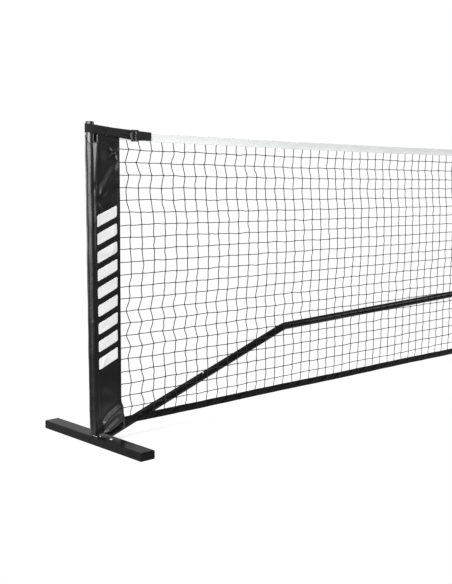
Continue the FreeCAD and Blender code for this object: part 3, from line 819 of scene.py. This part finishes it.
# Folds in the wing's front: start and end as (s, z), width and height, below 0 for a valley
FOLDS = [
    ((28, 736), (68, 796), 15, 5.6),
    ((24, 712), (86, 746), 11, -3.0),
    ((8, 722), (30, 696), 10, -1.0),
    star_fold(35),
    star_fold(145),
    star_fold(215),
    star_fold(300),
    ((15, 545), (82, 560), 7, -0.9),
    ((10, 180), (60, 150), 16, 1.2),
    ((4, 205), (30, 250), 8, 1.1),
    ((8, 330), (30, 345), 6, -0.8),
    ((62, 560), (70, 640), 7, 0.9),
]


def sleeve_edge(z):
    return np.interp(z, *EDGE_S)


def drape(s, z):
    """How far the vinyl stands out where it lies over the base arm."""
    below = np.interp(s, *DRAPE_LINE) - z
    return np.interp(below, *DRAPE_DEPTH) * smooth((s - 1) / 34) * (1 - 0.55 * smooth((s - 82) / 10))


def relief(s, z):
    """How far the front of the wing stands out from flat, in millimetres."""
    soft = ripples(s, z, (210, 150, 120, 90, 64), 1.4, 3) + 0.5
    folds = sum(ridge(s, z, *fold) for fold in FOLDS)
    free = smooth((s - SEAM_S + 4) / 12) * smooth((sleeve_edge(z) + 2 - s) / 14)
    return (soft + folds) * (0.12 + 0.88 * free) + drape(s, z)


def pocket_bulge(t, z):
    """The loose fold of vinyl between the post and the seam, t from 0 at the post to 1 at the seam."""
    full = np.interp(z, *FOLD_FULL) + ripples(z, 0, (61, 94, 150), 0.5, 11) * smooth((z - 80) / 60)
    return np.maximum(full, 0.15) * np.interp(t / np.interp(z, *FOLD_WIDTH), *FOLD_SHAPE)


def front_y(s, z):
    """The sleeve's front, from where the vinyl leaves the post's front to the wing's edge."""
    t = np.clip((s - RING_END[0]) / (SEAM_S - RING_END[0]), 0, 1)
    flat = RING_END[1] + (FRONT_Y - RING_END[1]) * t
    return flat - pocket_bulge(t, z) - t * relief(np.maximum(s, SEAM_S), z)


def pocket_ring(angle, z):
    """The pocket's radius round the post."""
    wave = 0.35 + ripples(z, angle * 34, (57, 94, 140, 210), 0.8, 5)
    wave = wave + 0.5 * np.exp(-((z - 361) / 6) ** 2 - ((angle - 4.3) / 0.5) ** 2)
    return POCKET_R + np.maximum(wave, 0)


def sleeve_section():
    """Places round the sleeve's section, from its rear edge round the post to its front edge."""
    runs = {
        "rear": np.linspace(1, 0, 15)[:-1],
        "turn": np.linspace(0, 1, 5)[:-1],
        "ring": np.radians(np.linspace(*RING_DEGREES, 38)),
        "ramp": np.linspace(0, 1, 12)[1:],
        "front": np.linspace(0, 1, 48)[1:],
    }
    return [(kind, t) for kind, places in runs.items() for t in places]


def sleeve_point(kind, t, z):
    """One column of the section at heights z: (s, y)."""
    edge = sleeve_edge(z) - 1.0
    if kind == "rear":
        s = SEAM_S + (edge - SEAM_S) * t
        return s, REAR_Y + 0.15 * np.sin(z / 31) * np.sin(np.pi * t)
    if kind == "turn":
        s = SEAM_S + (POCKET_R * math.cos(RING_START) - SEAM_S) * t
        return s, REAR_Y + (POCKET_R * math.sin(RING_START) - REAR_Y) * t ** 1.5
    if kind == "ring":
        r = pocket_ring(t, z)
        return r * math.cos(t), r * math.sin(t)
    s = SEAM_S + (edge - SEAM_S) * t if kind == "front" else RING_END[0] + (SEAM_S - RING_END[0]) * t
    return s, front_y(s, z)


def sleeve_limits(kind, t):
    """The section's lowest and highest points at one place round it."""
    if kind in ("rear", "front"):
        s = SEAM_S + (90 - SEAM_S) * t
    else:
        s = SEAM_S * t if kind == "ramp" else 0.0
    low = 30 + 25 * smooth((s - 17) / 74) + 5 * np.clip((s - 17) / 68, 0, 1)
    if kind in ("front", "ramp"):
        return low, 876 + 0.12 * s + 1.5 * math.sin(s / 12)
    if kind == "rear":
        return low, 903.2 - 0.128 * s + 2.5 * smooth((s - 48) / 12)
    round_post = smooth((t - 2.2) / 2.0) if kind == "ring" else 0.0
    return low, 901 - 25 * round_post


def build_sleeve(end, side):
    """Vinyl sleeve: a pocket round the post and a wing towards the net, with its trim."""
    columns = []
    for kind, t in sleeve_section():
        z = np.linspace(*sleeve_limits(kind, t), SLEEVE_ROWS)
        columns.append(together(*sleeve_point(kind, t, z), z))
    points = np.stack(columns, 1)
    around = travel(points[SLEEVE_ROWS // 2]) * MM
    uv = together(around, points[..., 2] * MM)
    piece = surface(f"sleeve_{end}_vinyl", at_end(points, side), VINYL, uv, flip=side < 0)
    thicken(piece, VINYL_THICK * MM)
    declare(piece, "vinyl", f"sleeve_{end}")
    trim = [build_binding(end, side), build_sleeve_thread(end, side), build_print(end, side)]


def build_binding(end, side):
    """Strip folded over the net's end and the sleeve's free edges, from the back to the front."""
    z = np.linspace(34.5, 892, 320)
    edge, width = sleeve_edge(z), np.interp(z, *BIND_WIDTH)
    columns = [(edge - width * t, REAR_Y + BINDING_OUT) for t in np.linspace(1, 0, 6)[:-1]]
    half_gap = (REAR_Y + BINDING_OUT - FRONT_Y + BINDING_OUT) / 2
    middle = (REAR_Y + FRONT_Y) / 2
    bulge = relief(edge - 2, z)
    for a in np.radians(np.linspace(90, -90, 9)):
        out = (1 - math.sin(a)) / 2
        columns.append((edge + 0.9 * math.cos(a), middle + half_gap * math.sin(a) - bulge * out))
    for t in np.linspace(0, 1, 11)[1:]:
        s = edge - width * t
        columns.append((s, FRONT_Y - BINDING_OUT - relief(s, z)))
    points = np.stack([together(*column, z) for column in columns], 1)
    around = travel(points[len(z) // 2]) * MM
    uv = together(around, points[..., 2] * MM)
    piece = surface(f"binding_{end}", at_end(points, side), BINDING_VINYL, uv, flip=side < 0)
    thicken(piece, BINDING_THICK * MM)
    return declare(piece, "vinyl")


def build_sleeve_thread(end, side):
    """Rows of stitches along the pocket's seam and the binding, front and back."""
    z = np.linspace(38, 886, 420)
    inner = sleeve_edge(z) - np.interp(z, *BIND_WIDTH) + 1.8
    seam, z_seam = SEAM_S + 1.2, z[4:-6]
    lines = [
        (together(inner, FRONT_Y - 1.05 - relief(inner, z), z), -1),
        (together(inner, REAR_Y + 1.05, z), 1),
        (together(seam, FRONT_Y - 0.4 - relief(seam, z_seam), z_seam), -1),
        (together(seam, REAR_Y + 0.4, z_seam), 1),
    ]
    parts = [stitches(at_end(line, side), way, SEAM_STITCH) for line, way in lines]
    return declare(add_joined(f"sleeve_thread_{end}", parts, BLACK_THREAD), "vinyl")


BARS = 9
BAR_PITCH = 52.0
BAR_HALF = 16.5             # half a bar's height
BAR_CORNER = 5.0
BAR_SLANT = 0.42
PRINT_S = (9.0, 79.0)
PRINT_MIDDLE_Z = 459.0
INK_THICK = 0.1
INK_OUT = 0.12              # from the vinyl's face to the middle of the ink


def build_print(end, side):
    """A row of plain slanted bars printed on the sleeve's front."""
    rows, columns = 25, 61
    faces, ci, cj = grid(rows, columns)
    across = np.linspace(-1, 1, rows) * BAR_HALF
    into = np.maximum(np.abs(across) - (BAR_HALF - BAR_CORNER), 0)
    inset = BAR_CORNER - np.sqrt(BAR_CORNER ** 2 - into ** 2)
    first, last = PRINT_S[0] + inset, PRINT_S[1] - inset
    s = first[:, None] + (last - first)[:, None] * np.linspace(0, 1, columns)
    parts = []
    for index in range(BARS):
        middle = PRINT_MIDDLE_Z + (index - (BARS - 1) / 2) * BAR_PITCH
        z = middle + across[:, None] + BAR_SLANT * (s - sum(PRINT_S) / 2)
        points = at_end(together(s, front_y(s, z) - VINYL_THICK / 2 - INK_OUT, z), side)
        corner_uv = together(s[ci, cj], z[ci, cj]).reshape(-1, 2) * MM
        parts.append((points.reshape(-1, 3), faces[:, ::-1] if side < 0 else faces, corner_uv))
    piece = add_joined(f"print_{end}", parts, INK)
    thicken(piece, INK_THICK * MM)
    return declare(piece, "white_print")


# ---------- strap and buckle webbing

# In millimetres. Outlines are (s, y).
WEB = 25.0
WEB_THICK = 1.3
WEB_SPACING = 0.8           # between the points of a curve
STRAP_FALL = 0.1268         # how fast the strap falls from the post to the buckle
STRAP_REAR_FALL = 0.033     # how much less fast it falls behind the net
STRAP_POST_Z = 916.3
POST_TURN_R = 13.55
MIDDLE_BAR = (143.0, -20.6)
FIXED_BAR = (153.8, -20.6)

# From the tape's end round the back of the post
STRAP_LOOP = [(202.0, -12.65), (0.0, POST_TURN_R)]
STRAP_LOOP += arc_points((0, 0), POST_TURN_R, 90, 270, 30)[1:] + [(62.0, -15.45)]

# Along the front, round the buckle's middle bar, and back to the tail's end
STRAP_FRONT = [(61.6, -15.44), (100.0, -16.63), (134.0, -17.65), (140.0, -17.85)]
STRAP_FRONT += arc_points(MIDDLE_BAR, 2.7, 90, -80, 18)
STRAP_FRONT += [(139.6, -22.3), (136.4, -20.3), (131.0, -19.35), (100.0, -18.2), (75.0, -17.3),
                (60.0, -17.4), (50.0, -17.9), (44.5, -18.3)]

# Two places on the front run, between the frame and the buckle; nothing bends the run between them
BEND_START = (70.0, -17.0, 905.0)
BEND_END = (139.0, -17.0, 905.0)

# Round the buckle's fixed bar and doubled back over the tape's end
ANCHOR = [(207.0, -16.2), (180.0, -16.2), (168.0, -16.3), (160.0, -17.2)]
ANCHOR += arc_points(FIXED_BAR, 2.65, 80, 280, 18)
ANCHOR += [(160.0, -21.4), (168.0, -18.2), (174.0, -17.6), (207.0, -17.55)]
ANCHOR_Z = 898.5
ANCHOR_FALL = 0.03

# The square of stitches, as (s, z), and the y of each face with the way it looks
BOX_CORNERS = np.array([(178.0, 888.6), (203.0, 887.8), (203.0, 906.0), (178.0, 906.8)])
BOX_RUNS = ((0, 1), (1, 2), (2, 3), (3, 0), (0, 2), (1, 3))
BOX_FACES = ((-18.22, -1), (-11.98, 1))


def add_webbing(name, line, z, side):
    """Webbing on edge along an (s, y) line at heights z."""
    line = at_end(np.concatenate([line, z[:, None]], axis=1), side)
    points, faces, uv = ribbon(line, WEB * MM, WEB_THICK * MM)
    return add_mesh(name, points, faces, WEBBING, uv)


def build_strap(end, side):
    """The strap: its loop round the post, and its front run round the buckle's middle bar."""
    line = even_points(np.array(STRAP_LOOP), 1.2)
    s, y = line.T
    z = STRAP_POST_Z - STRAP_FALL * s + np.where(y > s * -0.1, STRAP_REAR_FALL * np.maximum(s, 0), 0)
    declare(add_webbing(f"strap_loop_{end}", line, z, side), "webbing", f"strap_{end}")
    line = curve_through(STRAP_FRONT, WEB_SPACING)
    front = add_webbing(f"strap_front_{end}", line, STRAP_POST_Z - STRAP_FALL * line[:, 0], side)
    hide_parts(f"strap_turn_{end}")
    near, far = at_end([BEND_START, BEND_END], side)
    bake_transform(front)


def build_anchor(end, side):
    """Webbing round the buckle's fixed bar, doubled back and sewn over the end of the tape."""
    line = curve_through(ANCHOR, WEB_SPACING)
    z = ANCHOR_Z - ANCHOR_FALL * (line[:, 0] - FIXED_BAR[0])
    declare(add_webbing(f"anchor_{end}", line, z, side), "webbing", f"tape_anchor_{end}")
    build_box_stitch(end, side)


def build_box_stitch(end, side):
    """A square of stitches with a cross in it, front and back of the tape's end."""
    t = np.linspace(0, 1, 9)[:, None]
    parts = []
    for y, way in BOX_FACES:
        for a, b in BOX_RUNS:
            flat = BOX_CORNERS[a] + (BOX_CORNERS[b] - BOX_CORNERS[a]) * t
            line = together(flat[:, 0], y, flat[:, 1])
            parts.append(stitches(at_end(line, side), way, BOX_STITCH))
    declare(add_joined(f"box_stitch_{end}", parts, BLACK_THREAD), "webbing")


# ---------- tape, hem and middle pocket

# Tape and hem, in millimetres unless said otherwise
NET_END = 91.0              # from the post's axis
TAPE_DOWN = np.array([25.4, 24.6, 22.5, 19, 14, 8, 3, 0.8])     # rows of points below the top
TAPE_FLARE = np.array([1, 0.95, 0.6, 0.15, 0, 0, 0.1, 0.05])    # how much each row opens
TAPE_THICK = 0.45
TAPE_SEAMS = ((3.0, 0.9), (23.4, 0.86))     # height over the tape's lower edge, and depth
WEBBING_END = 207           # where the webbing on the tape stops, from the post's axis
TAPE_CROWN = np.array([(-0.35, -0.15), (0.0, 0.0), (0.35, -0.15)])
HEM_UP = np.array([1, 0.93, 0.82, 0.68, 0.52, 0.36, 0.22, 0.1, 0.03])   # rows, in hem heights
HEM_FREE = np.array([0.35, 0.25, 0.7, 1, 1, 1, 1, 0.8, 0.4])            # how far each puckers
HEM_FOLD = np.array([(-0.8, 0.0), (0.0, -0.3), (0.8, 0.0)])
HEM_THICK = 0.6
HEM_FRONT = 1.35            # from the mesh to the flat hem's front and back
HEM_BACK = 1.3
HEM_SEAM = 2.2              # below the hem's upper edge


def along_net(spacing):
    """Places along the net from one end to the other, in metres."""
    limit = HALF_SPAN - NET_END * MM
    return np.linspace(-limit, limit, round(2 * limit / spacing) + 1)


def folded(name, x, level, front, fold, rear, material, typical, flip=False):
    """A strip folded lengthwise.

    front and rear are (depth, height) rows at each x, in millimetres from the net's plane and
    the level. The section at the typical place sets the uv across.
    """
    middle = np.broadcast_to(fold, (len(x), *fold.shape))
    section = np.concatenate([front, middle, rear[:, ::-1]], axis=1)
    points = together(x[:, None], NET_Y + section[..., 0] * MM, level[:, None] + section[..., 1] * MM)
    around = travel(section[typical]) * MM
    return surface(name, points, material, together(x[:, None], around), flip)


def build_tape():
    """White tape folded over the net's head rope, sewn along its lower edge."""
    x = along_net(0.006)
    top = tape_top(x) + 0.00025 * np.sin(x * 23.0) + 0.00015 * np.sin(x * 61.0 + 1)
    from_post = (HALF_SPAN - np.abs(x)) / MM
    lip = 0.6 + 0.75 * smooth((from_post - WEBBING_END) / 14)
    half = 0.6 + (lip - 0.6)[:, None] * TAPE_FLARE
    wave = 0.22 * np.sin(x * 37.0)[:, None] * np.linspace(1, 0, len(TAPE_DOWN))
    wave = wave + 0.3 * ripples(x[:, None] / MM, TAPE_DOWN[None] * 3, (90, 57, 140), 1.0, 9)
    wave = wave * smooth((from_post - WEBBING_END) / 60)[:, None]
    front, rear = together(-half + wave, -TAPE_DOWN), together(half + wave, -TAPE_DOWN)
    tape = folded("net_tape", x, top, front, TAPE_CROWN, rear, TAPE, typical=500, flip=True)
    thicken(tape, TAPE_THICK * MM)
    declare(tape, "white_tape", "top_tape")
    inside = x[from_post > WEBBING_END + 5]
    lines = []
    for way in (-1, 1):
        for level, depth in TAPE_SEAMS:
            z = tape_top(inside) - TAPE_HEIGHT + level * MM
            lines.append(long_row(together(inside, NET_Y + way * depth * MM, z), way))
    thread = declare(add_joined("tape_thread", lines, WHITE_THREAD), "white_tape")


def hem_pucker(x, z):
    """How far the hem's face stands out, in millimetres; it is gathered most near the ends."""
    from_post = (HALF_SPAN - np.abs(x)) / MM
    along = x / MM
    slow = ripples(along, z * 3, (260, 170, 410), 1.0, 21)
    gather = ripples(along, z * 1.6, (23, 31, 17, 41, 57), 1.0, 22)
    patch = smooth(0.5 + 0.9 * ripples(along, 0, (310, 530, 190), 1.0, 23))
    near_end = np.exp(-np.maximum(from_post - NET_END, 0) / 260)
    return np.maximum(0.5 + 0.5 * slow + gather * (0.7 + 1.9 * patch + 1.2 * near_end), -0.2)


def build_hem():
    """Glossy vinyl folded round the net's foot, puckered where it is sewn."""
    x = along_net(0.0035)
    height = (HEM_HI.z - HEM_LO.z) / MM
    up = height * HEM_UP
    waver = ripples(x / MM, 0, (120, 75, 47), 1.0, 31)
    bottom = HEM_LO.z + 0.0006 * np.sin(x * 9.0) + 0.0004 * waver
    out = HEM_FRONT + HEM_FREE * hem_pucker(x[:, None], up[None])
    front, rear = together(-out, up), together(np.full_like(out, HEM_BACK), up)
    hem = folded("net_hem", x, bottom, front, HEM_FOLD, rear, HEM_VINYL, typical=900)
    thicken(hem, HEM_THICK * MM)
    declare(hem, "vinyl", "bottom_hem")
    inside = x[(HALF_SPAN - np.abs(x)) / MM > NET_END + 5]
    gathered = HEM_FRONT + 0.25 * hem_pucker(inside, height - HEM_SEAM)
    lines = []
    for way, depth in ((-1, gathered), (1, HEM_BACK)):
        y = NET_Y + way * (depth + 0.32) * MM
        lines.append(long_row(together(inside, y, HEM_HI.z - HEM_SEAM * MM), way))
    thread = declare(add_joined("hem_thread", lines, BLACK_THREAD), "vinyl")


def build_middle_pocket():
    """Vinyl pocket on the tape's back that drops over the middle upright."""
    lo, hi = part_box("middle_pocket")
    low, high = lo.z / MM, hi.z / MM
    front = -13.0
    plan = [(-27.0, front), (-21.0, front), (-16.5, front + 0.4), (-14.8, -9.0), (-14.4, 0.0)]
    plan += arc_points((0, 0), 14.2, 172, 8, 15) + [(-x, y) for x, y in plan[::-1]]
    line = curve_through(plan, 1.6)
    z = np.concatenate([np.linspace(low, high - 6, 26), [high - 4, high - 2.4, high - 1.2]])
    lift = smooth((z - (high - 6)) / 6)
    wave = ripples(z[:, None], line[None, :, 0] * 3, (23, 37, 60), 0.35, 41)
    away = np.maximum(line[:, 1] + 12, 0) / 26
    x = line[:, 0] * (1 - 0.25 * lift[:, None] * (away > 0))
    y = line[:, 1] + (wave + 0.3) * away
    points = together(x, y, z[:, None])
    around = travel(line) * MM
    wall = surface("middle_pocket_wall", points * MM, VINYL, together(around, points[..., 2] * MM))
    thicken(wall, VINYL_THICK * MM)
    declare(wall, "vinyl", "middle_pocket")
    rim = line[line[:, 1] > -11.5]
    rings = np.linspace(1, 0, 9)
    centre = np.array([0.0, 1.0])
    top = centre + (rim - centre) * (rings[:, None, None] * 0.985)
    height = high - 4.2 + 4.0 * (1 - rings ** 4)
    lid = together(top[..., 0], top[..., 1], height[:, None]) * MM
    cover = surface("middle_pocket_top", lid, VINYL, lid[..., :2], flip=True)
    thicken(cover, VINYL_THICK * MM)
    declare(cover, "vinyl")
    runs = [together(x, front + 0.42, np.linspace(low + 2, high - 2, 20)) for x in (-24.0, 24.0)]
    parts = [stitches(run * MM, 1, SEAM_STITCH) for run in runs]
    thread = declare(add_joined("pocket_thread", parts, BLACK_THREAD), "vinyl")


# ---------- run

add_camera()
light_room()
add_floor()
paint_frame()
build_net()
for end, side in SIDES.items():
    build_sleeve(end, side)
    build_strap(end, side)
    build_anchor(end, side)
build_tape()
build_hem()
build_middle_pocket()
